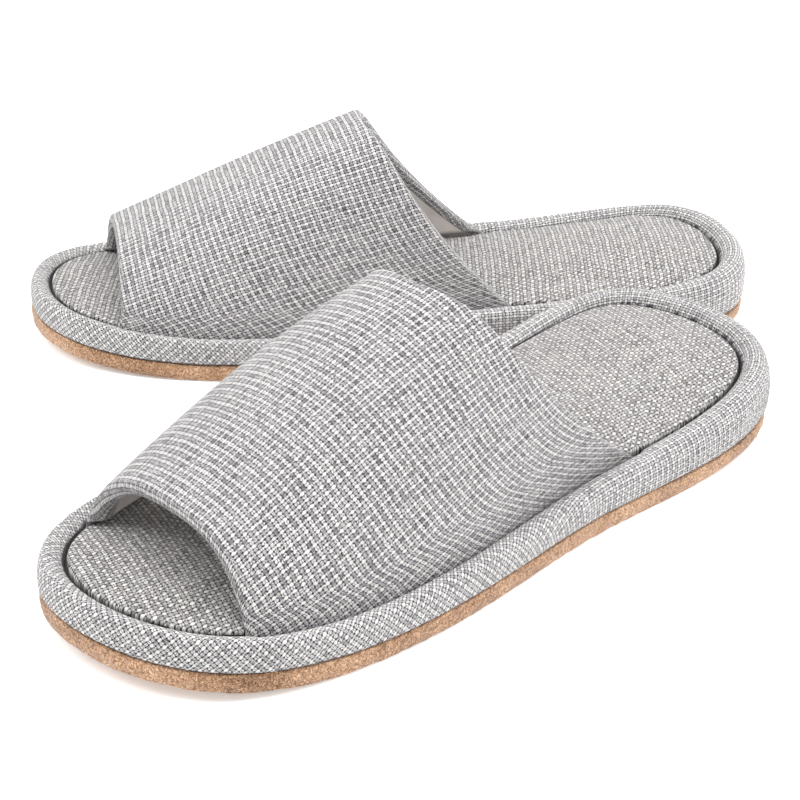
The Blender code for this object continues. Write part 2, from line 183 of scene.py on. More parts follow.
def outline():
    """The sole's outline, from the heel tip up the outer side to the toe and back, evenly spaced."""
    outer = [(wide, (part - 0.5) * LENGTH) for part, wide, _ in HALF_WIDTHS]
    inner = [(-wide, (part - 0.5) * LENGTH) for part, _, wide in reversed(HALF_WIDTHS)]
    knots = [(HEEL_TIP_X, -LENGTH / 2), *outer, (TOE_TIP_X, LENGTH / 2), *inner]
    samples = 300
    curve, direction = closed_spline(np.array(knots), samples)
    curve = np.vstack([curve, curve[:1]])
    direction = np.vstack([direction, direction[:1]])
    toe_index = samples * (len(HALF_WIDTHS) + 1)
    sides = []
    for first, last in ((0, toe_index), (toe_index, len(curve) - 1)):
        part = curve[first : last + 1]
        lengths = np.linalg.norm(np.diff(part, axis=0), axis=1)
        along = running(lengths)
        wanted = np.linspace(0, along[-1], RING_POINTS // 2, endpoint=False)
        values = np.hstack([part, direction[first : last + 1]])
        sides.append(np.array([np.interp(wanted, along, column) for column in values.T]).T)
    both = np.vstack(sides)
    return both[:, :2], inwards(both[:, 2:]), curve, inwards(direction), toe_index


EDGE, INWARD, CURVE, CURVE_INWARD, TOE_INDEX = outline()


def side_x(y, curve=CURVE):
    """The x of the outline, or of a curve inset from it, on the outer and the inner side of the foot."""
    outer = curve[: TOE_INDEX + 1]
    inner = curve[TOE_INDEX:][::-1]
    return np.interp(y, outer[:, 1], outer[:, 0]), np.interp(y, inner[:, 1], inner[:, 0])


def from_heel(y):
    return y / LENGTH + 0.5


def between(ends, y):
    """A value given at the toe and at the heel."""
    part = from_heel(y)
    return ends[0] * part + ends[1] * (1 - part)


def eased(share):
    """A share from 0 to 1 that leaves and arrives gently."""
    return share * share * (3 - 2 * share)


def smooth_step(low, high, value):
    return eased(np.clip((value - low) / (high - low), 0, 1))


def heel_share(y):
    """0 from the middle of the foot on, 1 at the heel."""
    return np.clip((HEEL_SPRING_TO - from_heel(y)) / HEEL_SPRING_TO, 0, 1)


def floor_line(y):
    """How far the curled sole stands off the floor."""
    toe = np.clip((from_heel(y) - TOE_SPRING_FROM) / (1 - TOE_SPRING_FROM), 0, 1)
    return TOE_SPRING * toe**2 + HEEL_SPRING * heel_share(y) ** 2


def sole_thickness(y):
    return SOLE_THICKNESS - HEEL_THINNING * heel_share(y)


def sole_top(y):
    return floor_line(y) + sole_thickness(y)


def groove_top(y):
    part = from_heel(y)
    return floor_line(y) + between(GROOVE_HEIGHT, y) - GROOVE_DIP * 4 * part * (1 - part)


def under_band(y):
    """0 where the groove is open, 1 where the band is tucked into it."""
    rear = min(REAR_EDGE) - GROOVE_WIDENING
    front = max(FRONT_EDGE) + GROOVE_WIDENING
    return np.clip(np.minimum(y - rear, front - y) / GROOVE_WIDENING, 0, 1)


def groove_half_width(y):
    return (GROOVE_WIDTH + (GROOVE_WIDTH_AT_BAND - GROOVE_WIDTH) * under_band(y)) / 2


def thread_height(y):
    return groove_top(y) - THREAD_DEPTH[0] - (THREAD_DEPTH[1] - THREAD_DEPTH[0]) * under_band(y)


def cushion_edge(y):
    return between(GROOVE_INSET, y) + groove_half_width(y)


# ---- rings, grids and soft unevenness ----


def ring(inset, height, step=1):
    """Points round the slipper, inset from the outline. Both arguments are functions of y."""
    edge = EDGE[::step]
    points = edge + INWARD[::step] * np.broadcast_to(inset(edge[:, 1]), len(edge))[:, None]
    return np.column_stack([points, np.broadcast_to(height(points[:, 1]), len(edge))])


def shrunk(base, share, rise):
    """A ring drawn a share of the way towards the slipper's spine and raised."""
    outer, inner = side_x(base[:, 1])
    end = LENGTH / 2 - SPINE_INSET
    spine = np.column_stack([(outer + inner) / 2, np.clip(base[:, 1], -end, end)])
    points = base[:, :2] + (spine - base[:, :2]) * share
    return np.column_stack([points, groove_top(points[:, 1]) + rise(points[:, 1])])


def wander(count, knots, seed):
    """A smooth random line round the slipper, from -1 to 1, through that many random knots."""
    values = np.random.default_rng(seed).uniform(-1, 1, knots)
    values = np.append(values, values[0])
    at = np.linspace(0, len(values) - 1, count, endpoint=False)
    low = np.minimum(at.astype(int), len(values) - 2)
    share = eased(at - low)
    return values[low] * (1 - share) + values[low + 1] * share


def lumps(rows, columns, knots, seed):
    """A smooth random surface: about -1 to 1, on a grid of rows by columns."""
    down, along = knots
    sheet = np.array([wander(columns, along, seed + i) for i in range(down)])
    at = np.linspace(0, down - 1, rows)
    low = np.minimum(at.astype(int), down - 2)
    share = eased(at - low)[:, None]
    return sheet[low] * (1 - share) + sheet[low + 1] * share


def jagged(seed):
    """How far the edge of the painted shade strays, round the slipper."""
    return 0.25 * MM * wander(RING_POINTS, 420, seed)


def grid_normals(grid, closed_rows, closed_columns):
    """Unit normals of a grid of points, each way wrapped round where the grid is closed."""
    def slope(axis, closed):
        if closed:
            return np.roll(grid, -1, axis) - np.roll(grid, 1, axis)
        return np.gradient(grid, axis=axis)

    normal = np.cross(slope(1, closed_columns), slope(0, closed_rows))
    return normal / np.maximum(np.linalg.norm(normal, axis=2, keepdims=True), 1e-12)


def cap_faces(count, tips):
    """Quads that close a ring from side to side. tips: its first point lies on the axis."""
    half = count // 2
    if not tips:
        return [(i, i + 1, count - i - 2, count - i - 1) for i in range(half - 1)]
    faces = [(0, 1, count - 1), (half - 1, half, half + 1)]
    return faces + [(i, i + 1, count - i - 1, count - i) for i in range(1, half - 1)]


def placed(points, side):
    """Points of one slipper's own frame, in the frame that both slippers share."""
    turn = -side * TURN_OUT
    x = side * points[:, 0]
    y = points[:, 1]
    return np.column_stack(
        [
            math.cos(turn) * x - math.sin(turn) * y + MIDDLES[side][0],
            math.sin(turn) * x + math.cos(turn) * y + MIDDLES[side][1] + CENTRING,
            points[:, 2],
        ]
    )


def signed_volume(points, faces):
    total = 0.0
    for quad in faces:
        a = points[quad[:, 0]]
        for k in range(1, quad.shape[1] - 1):
            total += (a * np.cross(points[quad[:, k]], points[quad[:, k + 1]])).sum()
    return total


def corner_numbers(low, above, left, right, columns):
    """Each quad's four corners, as places in a list of all the points of a grid."""
    corners = ((low, left), (low, right), (above, right), (above, left))
    return np.stack([row * columns + column for row, column in corners], axis=-1).reshape(-1, 4)


def grid_mesh(name, grid, uv=None, closed_rows=False, tips=False):
    """A closed mesh from a grid whose columns wrap round, capped where its rows don't.

    uv is in millimetres and has one more column than the grid, and one more row where rows wrap.
    """
    rows, columns = grid.shape[:2]
    low = np.arange(rows if closed_rows else rows - 1)[:, None]
    left = np.arange(columns)[None, :]
    wide = columns + 1
    quads = corner_numbers(low, (low + 1) % rows, left, (left + 1) % columns, columns)
    uv_quads = corner_numbers(low, low + 1, left, left + 1, wide)
    caps = []
    if not closed_rows:
        top = (rows - 1) * columns
        for face in cap_faces(columns, tips):
            caps.append(tuple(reversed(face)))
            caps.append(tuple(top + i for i in face))
    points = grid.reshape(-1, 3)
    faces = quads.tolist() + caps
    by_size = [quads] + [np.array([f for f in caps if len(f) == n]) for n in (3, 4)]
    if signed_volume(points, [f for f in by_size if len(f)]) < 0:
        faces = [face[::-1] for face in faces]
        uv_quads = uv_quads[:, ::-1]
    mesh = bpy.data.meshes.new(name)
    mesh.from_pydata(points.tolist(), [], faces)
    if uv is not None:
        flat = uv.reshape(-1, 2)
        cap_corners = [i for face in faces[len(quads) :] for i in face]
        cap_uv = [(i // columns) * wide + i % columns for i in cap_corners]
        layer = mesh.uv_layers.new(name="weave")
        values = flat[np.concatenate([uv_quads.reshape(-1), np.array(cap_uv, int)])]
        layer.data.foreach_set("uv", values.astype(np.float32).reshape(-1))
    mesh.shade_smooth()
    return mesh


SIDES = {"left": -1, "right": 1}


def seed_for(which, left_seed):
    return left_seed if which == "left" else left_seed + 1


def linked(name, data):
    """An object in the scene."""
    obj = bpy.data.objects.new(name, data)
    bpy.context.scene.collection.objects.link(obj)
    return obj


def piece(
    which, name, grid, finish, replaced, uv=None, closed_rows=False, tips=False, painted_shade=None
):
    """Makes one piece of one slipper.

    The last argument says for each point how much painted shade darkens the cloth where it dives into a seam,
    or in the thin painted shadow along the sole.
    """
    shape = grid.shape
    grid = placed(grid.reshape(-1, 3), SIDES[which]).reshape(shape)
    mesh = grid_mesh(f"{which}_{name}", grid, uv, closed_rows, tips)
    mesh.materials.append(finish)
    mesh.set_sharp_from_angle(angle=math.radians(60))
    if painted_shade is not None:
        # Painted shade, kept as a point attribute that the linen darkens by.
        mesh.attributes.new("painted_shade", "FLOAT", "POINT").data.foreach_set("value", painted_shade.reshape(-1))
    obj = linked(f"{which}_{name}", mesh)
    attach(obj, f"{which}_slipper")
    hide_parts(f"{which}_{replaced}")
    return obj


# ---- the sole and what lies on it ----


def flat_uv(grid):
    """UV in millimetres along x and y of the slipper, with the first column again at the end."""
    return np.concatenate([grid, grid[:, :1]], axis=1)[:, :, :2] / MM


def outsole(which, finish):
    """A thick suede sole, with worn, slightly uneven edges."""
    low_edge = 1.3 * MM
    top_edge = 0.7 * MM
    bulge = 0.25 * MM
    flat_inset = 14 * MM
    seed = seed_for(which, 11)
    rows = []
    for angle in np.linspace(0, math.pi / 2, 7):
        rows.append((low_edge * (1 - math.sin(angle)), low_edge * (1 - math.cos(angle))))
    for share in np.linspace(0.1, 0.9, 7):
        height = low_edge + (SOLE_THICKNESS - low_edge - top_edge) * share
        rows.append((-bulge * 4 * share * (1 - share), height))
    for angle in np.linspace(0, math.pi / 2, 5):
        rows.append((top_edge * (1 - math.cos(angle)), SOLE_THICKNESS - top_edge * (1 - math.sin(angle))))
    rows = [(inset, height / SOLE_THICKNESS) for inset, height in rows]
    worn = 0.35 * MM * lumps(len(rows), RING_POINTS, (4, 120), seed)
    worn += 0.16 * MM * lumps(len(rows), RING_POINTS, (7, 480), seed + 50)
    rings = []
    for index, (inset, share) in enumerate(rows):
        points = ring(lambda y: inset, lambda y: floor_line(y) + sole_thickness(y) * share)
        points[:, :2] += INWARD * np.abs(worn[index])[:, None]
        rings.append(points)
    inner = ring(lambda y: flat_inset, floor_line)
    inner_top = ring(lambda y: flat_inset, sole_top)
    grid = np.array([inner, *rings, inner_top])
    return piece(which, "outsole_suede", grid, finish, "outsole", tips=True)


def cushion_bottom(y):
    return groove_top(y) - CUSHION_DEPTH


def board_bottom(y):
    return cushion_bottom(y) - GAP - BOARD_THICKNESS


def slab(which, name, low, high, finish, replaced):
    """A flat layer under the cushion, between two heights, with eased edges."""
    ease = 0.25 * MM
    rows = [
        (ease, low),
        (0.0, lambda y: low(y) + ease),
        (0.0, lambda y: high(y) - ease),
        (ease, high),
    ]
    rings = [ring(lambda y: cushion_edge(y) + inset, height, HIDDEN_STEP) for inset, height in rows]
    return piece(which, name, np.array(rings), finish, replaced, tips=True)


def dome_rows(shell, count):
    """The cushion's rounded edge and domed top, as (inset, drop, share of the way to its spine)."""
    rows = []
    for angle in np.linspace(0, math.pi / 2, CUSHION_EDGE_ROWS):
        across = CUSHION_ROUNDING * (1 - math.cos(angle))
        down = CUSHION_ROUNDING * (1 - math.sin(angle))
        rows.append((shell + across, -shell - down, 0.0))
    for share in np.linspace(0, 1, count)[1:]:
        rows.append((shell + CUSHION_ROUNDING, -shell, share))
    return rows


def dome(shell, count, step=1):
    """Rings over the cushion, shell inside its outer surface."""
    rings = []
    for inset, drop, share in dome_rows(shell, count):
        base = ring(lambda y: cushion_edge(y) + inset, groove_top, step)
        reach = SPINE_REACH * share
        crown = 1 - (1 - reach) ** CROWN_POWER

        def rise(y):
            return between(CUSHION_RAISE, y) + between(CUSHION_DOME, y) * crown + drop

        rings.append(shrunk(base, reach, rise))
    return rings


def insole_cover(which, finish):
    seed = seed_for(which, 21)
    outside = np.array([ring(cushion_edge, cushion_bottom), *dome(0.0, DOME_ROWS)])
    outside = swollen_cushion(f"{which}_insole_form", outside)
    soft = lumps(len(outside), RING_POINTS, (10, 36), seed)
    fade = np.linspace(0, 1, len(outside))[:, None]
    fade = smooth_step(0.1, 0.35, fade) * (1 - smooth_step(0.6, 1.0, fade))
    outside[:, :, 2] += 0.28 * MM * soft * fade
    low = ring(lambda y: cushion_edge(y) + FABRIC, cushion_bottom)
    inside = np.array([low, *dome(FABRIC, HIDDEN_DOME_ROWS)])
    grid = np.concatenate([inside[::-1], outside])
    drops = np.array([-CUSHION_DEPTH, *(drop for _, drop, _ in dome_rows(0.0, DOME_ROWS))])
    # Painted shade: darker as the cover drops below its edge into the groove, and fully dark on its hidden
    # inside.
    painted_shade = smooth_step(*CUSHION_SHADE, -(drops[:, None] - jagged(seed + 5)))
    painted_shade = np.concatenate([np.ones(inside.shape[:2]), painted_shade])
    uv = flat_uv(grid)
    uv = uv + uv[:, :, ::-1] * np.array(INSOLE_SKEW[which])
    return piece(
        which, "insole_cover_linen", grid, finish, "insole_cover",
        uv=uv, tips=True, painted_shade=painted_shade,
    )


def insole_foam(which, finish):
    shell = FABRIC + GAP
    low = ring(lambda y: cushion_edge(y) + shell, cushion_bottom, HIDDEN_STEP)
    grid = np.array([low, *dome(shell, HIDDEN_DOME_ROWS, HIDDEN_STEP)])
    return piece(which, "insole_foam_pad", grid, finish, "insole_foam", tips=True)


def seam_thread(which, finish):
    """A twisted thread at the bottom of the groove."""
    radius = 0.35 * MM
    turns = 150
    phase = np.linspace(0, math.tau * turns, RING_POINTS, endpoint=False)
    rows = []
    for angle in np.linspace(0, -math.tau, 10, endpoint=False):
        strand = radius * (0.86 + 0.14 * np.cos(2 * angle + phase))
        points = ring(lambda y: between(GROOVE_INSET, y), thread_height)
        points[:, :2] += INWARD * (strand * math.cos(angle))[:, None]
        points[:, 2] += strand * math.sin(angle)
        rows.append(points)
    grid = np.array(rows)
    return piece(which, "seam_thread", grid, finish, "insole_seam", closed_rows=True)


# ---- the roll ----


def roll_ring(angle, shell, step=1):
    """The ring of the roll's surface at an angle from its inner side, over its top, shell deep.

    The roll is highest close to the groove, slopes outwards and stands square on the sole.
    """
    inner_half = math.cos(angle) > 0
    top_half = math.sin(angle) > 0
    power = 2 / (ROLL_TOP_SQUARENESS if top_half else ROLL_FOOT_SQUARENESS)
    across = abs(math.cos(angle)) ** power
    up = abs(math.sin(angle)) ** power

    def inset(y):
        inner = between(GROOVE_INSET, y) - groove_half_width(y)
        crest = inner - ROLL_SHOULDER
        end = inner - shell if inner_half else shell - ROLL_OVERHANG
        return crest + (end - crest) * across

    def height(y):
        low = sole_top(y) + GAP
        high = groove_top(y) + between(ROLL_RISE, y)
        waist = low + (high - low) * (ROLL_INNER_WAIST if inner_half else ROLL_WAIST)
        end = high - shell if top_half else low + shell
        return waist + (end - waist) * up

    return ring(inset, height, step)


def roll_shade(outside, angles, which):
    """Painted shade on the roll's cloth: in the groove, and a thin painted shadow along the sole, most at the
    toe.
    """
    stray = jagged(seed_for(which, 71))
    y, height = outside[:, :, 1], outside[:, :, 2]
    below_cushion = groove_top(y) + between(CUSHION_RAISE, y) - height
    inner_half = (np.cos(angles) > 0)[:, None]
    above_sole = height - height.min(axis=0) + stray
    toe = smooth_step(0.3, 0.9, from_heel(EDGE[:, 1]))
    shade_in_groove = inner_half * smooth_step(*ROLL_SHADE, below_cushion + stray)
    # A thin painted shadow where the roll meets the sole.
    shadow_at_sole = (1 - smooth_step(*SOLE_SHADOW, above_sole)) * (0.35 + 0.45 * toe)
    return np.maximum(shade_in_groove, shadow_at_sole)


def rim_uv(grid):
    """The weave lies on the bias round the toe, and its thicker yarns cross the roll round the heel."""
    closed = np.concatenate([grid, grid[:, :1]], axis=1)
    middle = closed[len(closed) // 2]
    steps = np.linalg.norm(np.diff(middle, axis=0), axis=1) / MM
    slant = math.radians(90) - math.radians(45) * smooth_step(*BIAS_TURN, from_heel(middle[:, 1]))
    half = (slant[1:] + slant[:-1]) / 2
    along = []
    for pitch, parts in zip(YARN_PITCHES, (steps * np.cos(half), steps * np.sin(half))):
        run = running(parts)
        # Whole pairs of yarns go round, so that the weave closes at the heel.
        along.append(run * round(run[-1] / (2 * pitch)) * 2 * pitch / run[-1])
    down = distances(closed) / MM
    down = down - down[len(closed) // 2]
    return np.stack([along[0] - down * np.sin(slant), along[1] + down * np.cos(slant)], axis=2)


def rim_gathers(uv, which):
    """How far the fabric stands proud: ribs over every second yarn round the heel, and soft lumps."""
    seed = seed_for(which, 31)
    part = from_heel(EDGE[:, 1])
    heel = 1 - smooth_step(0.25, 0.50, part)
    toe = smooth_step(0.90, 1.0, part)
    depth = (0.02 + 0.16 * heel + 0.04 * toe) * MM
    depth = depth * (0.75 + 0.35 * wander(RING_POINTS, 160, seed + 1))
    ribs = np.cos(math.pi * (uv[:, :-1, 1] / YARN_PITCHES[1] - 0.5)) * depth
    pillow = 0.20 * MM * lumps(len(uv), RING_POINTS, (4, 46), seed + 20)
    return ribs + pillow


def rim_cover(which, finish):
    """The fabric round the roll. It stays open low on its inner side, where its edges are glued."""
    shoulder = np.linspace(0, math.pi / 2, SHOULDER_ROWS, endpoint=False)
    angles = np.append(shoulder, np.linspace(math.pi / 2, math.tau * COVERED_TURN, ROLL_ROWS - SHOULDER_ROWS))
    outside = np.array([roll_ring(angle, 0.0) for angle in angles])
    # Painted shade in the groove and a painted shadow along the sole; the hidden inside is fully dark.
    painted_shade = roll_shade(outside, angles, which)
    uv_out = rim_uv(outside)
    normal = grid_normals(outside, False, True)
    outward = np.sign(normal[ROLL_ROWS // 3, :, 2].sum())
    ease = np.sin(np.linspace(0, math.pi, ROLL_ROWS)) ** 0.6
    proud = rim_gathers(uv_out, which) * ease[:, None]
    outside = outside + normal * outward * proud[:, :, None]
    inside = np.array([roll_ring(angle, FABRIC) for angle in angles[::3]])
    grid = np.concatenate([outside[::-1], inside])
    uv = np.concatenate([uv_out[::-1], rim_uv(inside), uv_out[-1:]])
    painted_shade = np.concatenate([painted_shade[::-1], np.ones(inside.shape[:2])])
    return piece(
        which, "rim_cover_linen", grid, finish, "rim_cover",
        uv=uv, closed_rows=True, painted_shade=painted_shade,
    )


def rim_foam(which, finish):
    angles = np.linspace(math.tau, 0, 16, endpoint=False)
    grid = np.array([roll_ring(angle, FABRIC + GAP, HIDDEN_STEP) for angle in angles])
    return piece(which, "rim_foam_roll", grid, finish, "rim_foam", closed_rows=True)


# ---- the band ----

BAND_BASE = CURVE + CURVE_INWARD * (between(GROOVE_INSET, CURVE[:, 1]) - BAND_EDGE_THICKNESS / 2)[:, None]


def arch(across, flatness, slope):
    """The band's section, as shares of half width and height, at points from 1, outer, to -1, inner."""
    angle = np.linspace(0, math.pi / 2, 400)
    x = np.cos(angle) ** (2 / flatness)
    z = np.sin(angle) ** (2 / slope)
    along = running(np.hypot(np.diff(x), np.diff(z)))
    wanted = (1 - np.abs(across)) * along[-1]
    return np.copysign(np.interp(wanted, along, x), across), np.interp(wanted, along, z)


def edge_y(edge, across, sweep):
    middle, outer, inner = edge
    side = np.where(across > 0, outer, inner)
    return middle + (side - middle) * np.abs(across) ** sweep


def band_surface(back, across):
    """Points on the band's outside: a column for each station across, a row for each share back."""
    rows = []
    for share in back:
        flatness, slope = (a + (b - a) * share for a, b in (ARCH_FLATNESS, ARCH_SLOPE))
        x, z = arch(across, flatness, slope)
        front = edge_y(FRONT_EDGE, across, FRONT_EDGE_SWEEP)
        rear = edge_y(REAR_EDGE, across, REAR_EDGE_SWEEP)
        y = front + (rear - front) * share
        outer, inner = side_x(y, BAND_BASE)
        height = ARCH_HEIGHT[0] + (ARCH_HEIGHT[1] - ARCH_HEIGHT[0]) * share
        height = height + ARCH_SWELL * 4 * share * (1 - share)
        x = (outer + inner) / 2 + (outer - inner) / 2 * x
        rows.append(np.stack([x, y, groove_top(y) + height * z], 1))
    return np.array(rows)


class Band:
    """The band's outside as a fine grid, which can be read at any distance from its edges."""

    def __init__(self):
        self.back = np.linspace(-0.06, 1.06, 240)
        self.grid = band_surface(self.back, np.linspace(1, -1, BAND_STATIONS))
        normal = grid_normals(self.grid, False, False)
        self.normal = normal * np.sign(normal[len(normal) // 2, BAND_STATIONS // 2, 2])
        rise = self.grid[:, :, 2] - groove_top(self.grid[:, :, 1])
        smooth = smooth_step(*BAND_SWELLS, rise)
        self.thickness = BAND_EDGE_THICKNESS + (BAND_THICKNESS - BAND_EDGE_THICKNESS) * smooth
        first, last = (np.searchsorted(self.back, edge) for edge in (0, 1))
        self.length = np.linalg.norm(self.grid[last] - self.grid[first], axis=1)

    def read(self, values, share):
        """values at a share of the way back, which may differ from station to station."""
        at = np.clip((share - self.back[0]) / (self.back[1] - self.back[0]), 0, len(self.back) - 1.001)
        low = at.astype(int)
        part = at - low
        station = np.arange(BAND_STATIONS)
        if values.ndim == 3:
            part = part[:, None]
        return values[low, station] * (1 - part) + values[low + 1, station] * part

    def layer(self, rows):
        """A grid of points, a row for each (share back, distance further back, depth of the thickness)."""
        grid = []
        for share, further, depth in rows:
            share = share + further / self.length
            deep = depth(self.read(self.thickness, share))[:, None]
            grid.append(self.read(self.grid, share) - self.read(self.normal, share) * deep)
        return np.array(grid)


def edge_rows(shell, count, end):
    """Round one edge of the band, from its facing to the outside. end: 0 at the front, 1 at the rear."""
    sign = 1 if end == 0 else -1
    rows = []
    for further in np.linspace(FACING_WIDTH, EDGE_ROUNDING, 6)[:-1]:
        rows.append((end, sign * further, lambda t: t - shell))
    for angle in np.linspace(-math.pi / 2, math.pi / 2, count):
        further = EDGE_ROUNDING - (EDGE_ROUNDING - shell) * math.cos(angle)
        rise = math.sin(angle)
        rows.append((end, sign * further, lambda t, rise=rise: t / 2 - (t / 2 - shell) * rise))
    return rows


def band_path(shell, count):
    """From the front facing over the outside to the rear facing, shell inside the fabric's outside."""
    front = edge_rows(shell, 13, 0)
    rear = edge_rows(shell, 13, 1)[::-1]
    middle = count - len(front) - len(rear)
    rows = []
    for share in np.linspace(0, 1, middle + 2)[1:-1]:
        further = (1 - 2 * share) * EDGE_ROUNDING
        rows.append((share, further, lambda t: 0 * t + shell))
    return front + rows + rear


def tucked(grid):
    """The grid with its two side edges carried down into the groove."""
    down = np.array([0, 0, BAND_TUCK])
    steps = np.linspace(1, 0.25, 4)
    low = [grid[:, :1] - down * step for step in steps]
    high = [grid[:, -1:] - down * step for step in reversed(steps)]
    return np.concatenate([*low, grid, *high], axis=1)


def band_uv(grid):
    """Distances over the cloth in millimetres: across the foot from its ridge, and back from the front."""
    across = distances(grid, 1)
    across = (across - across[:, across.shape[1] // 2][:, None]) / MM
    back = distances(grid) / MM
    fan = WEAVE_FAN * (back - WEAVE_FAN_CENTRE) * np.tanh(across / WEAVE_FAN_REACH)
    return np.stack([across - fan, back - WEAVE_DRIFT * np.abs(across) ** 3], axis=2)


def band_piece(which, name, outside, inside, finish, replaced, uv=None):
    """A layer of the band: rows over the outside, then back under them."""
    grid = np.concatenate([outside, inside[::-1]])
    if uv is not None:
        uv = np.concatenate([uv, uv[::-1], uv[:1]])
        uv = uv.transpose(1, 0, 2)
    return piece(which, name, grid.transpose(1, 0, 2), finish, replaced, uv=uv)


def upper_outer(which, band, finish):
    shells = (0.0, FABRIC, BAND_THICKNESS / 2)
    outside, inside, deeper = (tucked(band.layer(band_path(shell, BAND_POINTS))) for shell in shells)
    outside = swollen_band(f"{which}_band_form", outside, deeper)
    return band_piece(
        which, "upper_linen", outside, inside, finish, "upper_outer",
        uv=band_uv(outside),
    )


def plain_rows(inset, depth, count):
    """Rows from inset behind the front edge to inset before the rear edge, at one depth."""
    return [(share, (1 - 2 * share) * inset, depth) for share in np.linspace(0, 1, count)]


def upper_lining(which, band, finish):
    inset = FACING_WIDTH + GAP
    outside = tucked(band.layer(plain_rows(inset, lambda t: t - FABRIC, 90)))
    inside = tucked(band.layer(plain_rows(inset, lambda t: t, 90)))
    return band_piece(
        which, "upper_lining_cloth", outside, inside, finish, "upper_lining",
        uv=band_uv(outside),
    )


def upper_foam(which, band, finish):
    shell = FABRIC + GAP
    inset = EDGE_ROUNDING + 2 * GAP
    side_margin = 20
    keep = slice(side_margin, BAND_STATIONS - side_margin, 3)
    outside = band.layer(plain_rows(inset, lambda t: 0 * t + shell, 60))[:, keep]
    inside = band.layer(plain_rows(inset, lambda t: t - shell, 60))[:, keep]
    return band_piece(which, "upper_foam_pad", outside, inside, finish, "upper_foam")


# ---- the cloth ----

PRESSURE = 20.0
SIMULATED_FRAMES = 20
START_SMALLER = 0.3 * MM
CUSHION_GIVE = 1.2 * MM  # no point of the cloth moves further than this
BAND_GIVE = 1.0 * MM


def blown_up(name, grid, held, tips):
    """The grid's points after its cloth has been under pressure for some frames, held where held says."""
    scene = bpy.context.scene
    obj = linked(name, grid_mesh(name, grid, tips=tips))
    obj.vertex_groups.new(name="held").add(np.flatnonzero(held).tolist(), 1.0, "REPLACE")
    cloth = obj.modifiers.new("cloth", "CLOTH")
    cloth.settings.quality = 8
    cloth.settings.use_pressure = True
    cloth.settings.uniform_pressure_force = PRESSURE
    cloth.settings.vertex_group_mass = "held"
    cloth.settings.effector_weights.gravity = 0
    cloth.point_cache.frame_start = 1
    cloth.point_cache.frame_end = SIMULATED_FRAMES
    for step in range(1, SIMULATED_FRAMES + 1):
        scene.frame_set(step)
    shape = obj.evaluated_get(bpy.context.evaluated_depsgraph_get())
    points = np.empty(grid.size)
    shape.data.vertices.foreach_get("co", points)
    bpy.data.objects.remove(obj, do_unlink=True)
    scene.frame_set(1)
    return points.reshape(grid.shape)


def stretched(values, at, count):
    """Rows of values known at some places, read at every whole number up to count."""
    wanted = np.arange(count)
    low = np.clip(np.searchsorted(at, wanted, side="right") - 1, 0, len(at) - 2)
    share = ((wanted - at[low]) / (at[low + 1] - at[low]))[:, None, None]
    return values[low] * (1 - share) + values[low + 1] * share


def swollen(name, outside, backing, rows, columns, held, most, tips=False):
    """The outside of a pad after a coarse copy of it, closed by its backing, has been blown up as cloth.

    rows and columns are the ones the copy keeps. held, 0 to 1 for each point of the copy, is where the
    cloth is sewn down. No point moves further than most.
    """
    start = outside[rows][:, columns]
    normal = grid_normals(start, False, tips)
    normal *= np.sign((normal * (start - backing.mean(axis=(0, 1)))).sum())
    start = start - normal * START_SMALLER * (1 - held)[:, :, None]
    if tips:
        form = np.concatenate([backing, start])
        sewn = np.concatenate([np.ones(backing.shape[:2]), held])
        moved = blown_up(name, form, sewn > 0.5, True)[len(backing) :]
    else:
        form = np.concatenate([start, backing[::-1]]).transpose(1, 0, 2)
        sewn = np.concatenate([held, np.ones(backing.shape[:2])]).T
        moved = blown_up(name, form, sewn > 0.5, False).transpose(1, 0, 2)[: len(start)]
    shift = moved - outside[rows][:, columns]
    too_deep = np.minimum((shift * normal).sum(axis=2, keepdims=True) + START_SMALLER, 0)
    shift -= normal * too_deep
    far = np.linalg.norm(shift, axis=2, keepdims=True)
    shift = shift * most * np.tanh(far / most) / np.maximum(far, 1e-9) * (1 - held)[:, :, None]
    if tips:
        shift = np.concatenate([shift, shift[:, :1]], axis=1)
        columns = np.append(columns, outside.shape[1])
    shift = stretched(shift, rows, len(outside))
    shift = stretched(shift.transpose(1, 0, 2), columns, outside.shape[1]).transpose(1, 0, 2)
    return outside + shift


def swollen_cushion(name, outside):
    rows = np.concatenate([[0, 4], np.arange(CUSHION_EDGE_ROWS, len(outside) - 1, 3), [len(outside) - 1]])
    columns = np.arange(0, RING_POINTS, 12)
    held = np.zeros((len(rows), len(columns)))
    held[:3] = 1
    backing = outside[:1, columns] * np.array([0.7, 0.9, 1])
    return swollen(name, outside, backing, rows, columns, held, CUSHION_GIVE, tips=True)


def swollen_band(name, outside, deeper):
    rows = np.unique(np.linspace(0, BAND_POINTS - 1, 34).astype(int))
    columns = np.unique(np.linspace(0, outside.shape[1] - 1, 46).astype(int))
    held_edge = 12
    held = np.zeros((len(rows), len(columns)))
    held[:, :3] = 1
    held[:, -3:] = 1
    held[(rows < held_edge) | (rows >= BAND_POINTS - held_edge)] = 1
    backing = deeper[rows[3:-3:3]][:, columns]
    return swollen(name, outside, backing, rows, columns, held, BAND_GIVE)


# ---- materials ----


